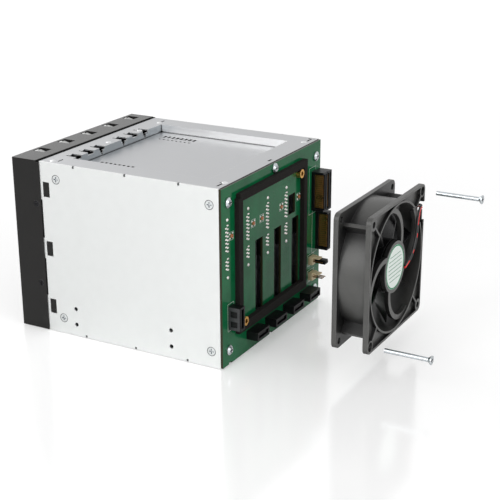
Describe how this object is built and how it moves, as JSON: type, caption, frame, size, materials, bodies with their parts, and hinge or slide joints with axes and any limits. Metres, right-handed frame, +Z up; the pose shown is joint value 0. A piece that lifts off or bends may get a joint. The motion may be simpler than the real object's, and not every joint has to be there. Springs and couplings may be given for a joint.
{
  "type": "hot swap drive cage",
  "caption": "Steel cage for upright 3.5 inch drives in pull-out trays, with a vented plastic front, a rear connector board and a rear fan drawn off its seat.",
  "frame": {"origin": "middle of the width, on the base plane, where the back of the bezel meets the steel shell", "axes": "+X towards the viewer's near side panel, +Y from the bezel to the rear board and fan, +Z up"},
  "size_m": [0.1472, 0.3035, 0.1254],
  "materials": {
    "galvanised_panel": "bright galvanised sheet, fine matt grain",
    "galvanised_pan": "galvanised sheet, satin",
    "inner_steel": "thin galvanised sheet",
    "bezel_plastic": "fine grained black moulding",
    "guide_plastic": "smooth dark moulding",
    "tray_steel": "zinc plated sheet",
    "door_plastic": "fine grained black moulding",
    "button_plastic": "light grey moulding",
    "lens_clear": "clear moulded light guide",
    "pin_steel": "bright steel",
    "board_green": "green solder mask",
    "connector_black": "black connector moulding",
    "header_cream": "cream nylon",
    "contact_gold": "gold plated contacts",
    "foam_black": "black foam",
    "standoff_brass": "turned brass",
    "screw_zinc": "zinc plated steel",
    "screw_black": "black oxide steel",
    "fan_plastic": "dark grey glass filled moulding",
    "blade_plastic": "black moulding",
    "label_paper": "plain pale label with a green rim",
    "motor_steel": "laminated and sintered steel",
    "bearing_bronze": "sintered bronze",
    "lead_red": "red insulation",
    "lead_black": "black insulation"
  },
  "bodies": {
    "cage": {"side_panel_right": "galvanised_panel", "side_panel_left": "galvanised_panel", "top_pan": "galvanised_pan", "bottom_pan": "galvanised_pan", "front_bezel": "bezel_plastic", "divider_1": "inner_steel", "divider_2": "inner_steel", "divider_3": "inner_steel", "divider_4": "inner_steel", "lower_guide": "guide_plastic", "upper_guide": "guide_plastic", "backplane_board": "board_green", "drive_connectors": "connector_black", "data_connectors": "connector_black", "power_connectors": "connector_black", "fan_headers": "header_cream", "rear_contacts": "contact_gold", "fan_gasket": "foam_black", "fan_standoffs": "standoff_brass", "board_screws": "screw_zinc", "panel_screws": "screw_zinc", "bezel_screws": "screw_black"},
    "tray_1": {"tray_1": "tray_steel", "door_pin_1": "pin_steel"},
    "door_1": {"tray_door_1": "door_plastic", "status_lens_1": "lens_clear"},
    "button_1": {"release_button_1": "button_plastic"},
    "tray_2": {"tray_2": "tray_steel", "door_pin_2": "pin_steel"},
    "door_2": {"tray_door_2": "door_plastic", "status_lens_2": "lens_clear"},
    "button_2": {"release_button_2": "button_plastic"},
    "tray_3": {"tray_3": "tray_steel", "door_pin_3": "pin_steel"},
    "door_3": {"tray_door_3": "door_plastic", "status_lens_3": "lens_clear"},
    "button_3": {"release_button_3": "button_plastic"},
    "tray_4": {"tray_4": "tray_steel", "door_pin_4": "pin_steel"},
    "door_4": {"tray_door_4": "door_plastic", "status_lens_4": "lens_clear"},
    "button_4": {"release_button_4": "button_plastic"},
    "tray_5": {"tray_5": "tray_steel", "door_pin_5": "pin_steel"},
    "door_5": {"tray_door_5": "door_plastic", "status_lens_5": "lens_clear"},
    "button_5": {"release_button_5": "button_plastic"},
    "fan": {"fan_frame": "fan_plastic", "fan_bearing": "bearing_bronze", "fan_stator": "motor_steel", "fan_label": "label_paper", "fan_lead_red": "lead_red", "fan_lead_black": "lead_black", "lead_plug": "connector_black"},
    "impeller": {"fan_impeller": "blade_plastic", "fan_shaft": "pin_steel", "fan_magnet": "motor_steel"},
    "fan_screw_lower": {"fan_screw_lower": "screw_zinc"},
    "fan_screw_upper": {"fan_screw_upper": "screw_zinc"}
  },
  "joints": [
    {"name": "tray_1_slide", "type": "slide", "parent": "cage", "child": "tray_1", "axis": [0, -1, 0], "range_m": [0, 0.16]},
    {"name": "door_1_hinge", "type": "hinge", "parent": "tray_1", "child": "door_1", "pos_m": [0.0554, -0.0205, 0.006], "axis": [1, 0, 0], "range_deg": [0, 80]},
    {"name": "button_1_press", "type": "slide", "parent": "door_1", "child": "button_1", "axis": [0, 0, -1], "range_m": [0, 0.0025], "stiffness_N_per_m": 400},
    {"name": "tray_2_slide", "type": "slide", "parent": "cage", "child": "tray_2", "axis": [0, -1, 0], "range_m": [0, 0.16]},
    {"name": "door_2_hinge", "type": "hinge", "parent": "tray_2", "child": "door_2", "pos_m": [0.0277, -0.0205, 0.006], "axis": [1, 0, 0], "range_deg": [0, 80]},
    {"name": "button_2_press", "type": "slide", "parent": "door_2", "child": "button_2", "axis": [0, 0, -1], "range_m": [0, 0.0025], "stiffness_N_per_m": 400},
    {"name": "tray_3_slide", "type": "slide", "parent": "cage", "child": "tray_3", "axis": [0, -1, 0], "range_m": [0, 0.16]},
    {"name": "door_3_hinge", "type": "hinge", "parent": "tray_3", "child": "door_3", "pos_m": [0, -0.0205, 0.006], "axis": [1, 0, 0], "range_deg": [0, 80]},
    {"name": "button_3_press", "type": "slide", "parent": "door_3", "child": "button_3", "axis": [0, 0, -1], "range_m": [0, 0.0025], "stiffness_N_per_m": 400},
    {"name": "tray_4_slide", "type": "slide", "parent": "cage", "child": "tray_4", "axis": [0, -1, 0], "range_m": [0, 0.16]},
    {"name": "door_4_hinge", "type": "hinge", "parent": "tray_4", "child": "door_4", "pos_m": [-0.0277, -0.0205, 0.006], "axis": [1, 0, 0], "range_deg": [0, 80]},
    {"name": "button_4_press", "type": "slide", "parent": "door_4", "child": "button_4", "axis": [0, 0, -1], "range_m": [0, 0.0025], "stiffness_N_per_m": 400},
    {"name": "tray_5_slide", "type": "slide", "parent": "cage", "child": "tray_5", "axis": [0, -1, 0], "range_m": [0, 0.16]},
    {"name": "door_5_hinge", "type": "hinge", "parent": "tray_5", "child": "door_5", "pos_m": [-0.0554, -0.0205, 0.006], "axis": [1, 0, 0], "range_deg": [0, 80]},
    {"name": "button_5_press", "type": "slide", "parent": "door_5", "child": "button_5", "axis": [0, 0, -1], "range_m": [0, 0.0025], "stiffness_N_per_m": 400},
    {"name": "fan_pull", "type": "slide", "parent": "cage", "child": "fan", "axis": [0, 1, 0], "range_m": [-0.065, 0]},
    {"name": "impeller_spin", "type": "hinge", "parent": "fan", "child": "impeller", "pos_m": [0.005, 0.2226, 0.067], "axis": [0, 1, 0], "continuous": true},
    {"name": "fan_screw_lower_pull", "type": "slide", "parent": "fan", "child": "fan_screw_lower", "axis": [0, 1, 0], "range_m": [-0.0419, 0]},
    {"name": "fan_screw_upper_pull", "type": "slide", "parent": "fan", "child": "fan_screw_upper", "axis": [0, 1, 0], "range_m": [-0.0419, 0]}
  ]
}
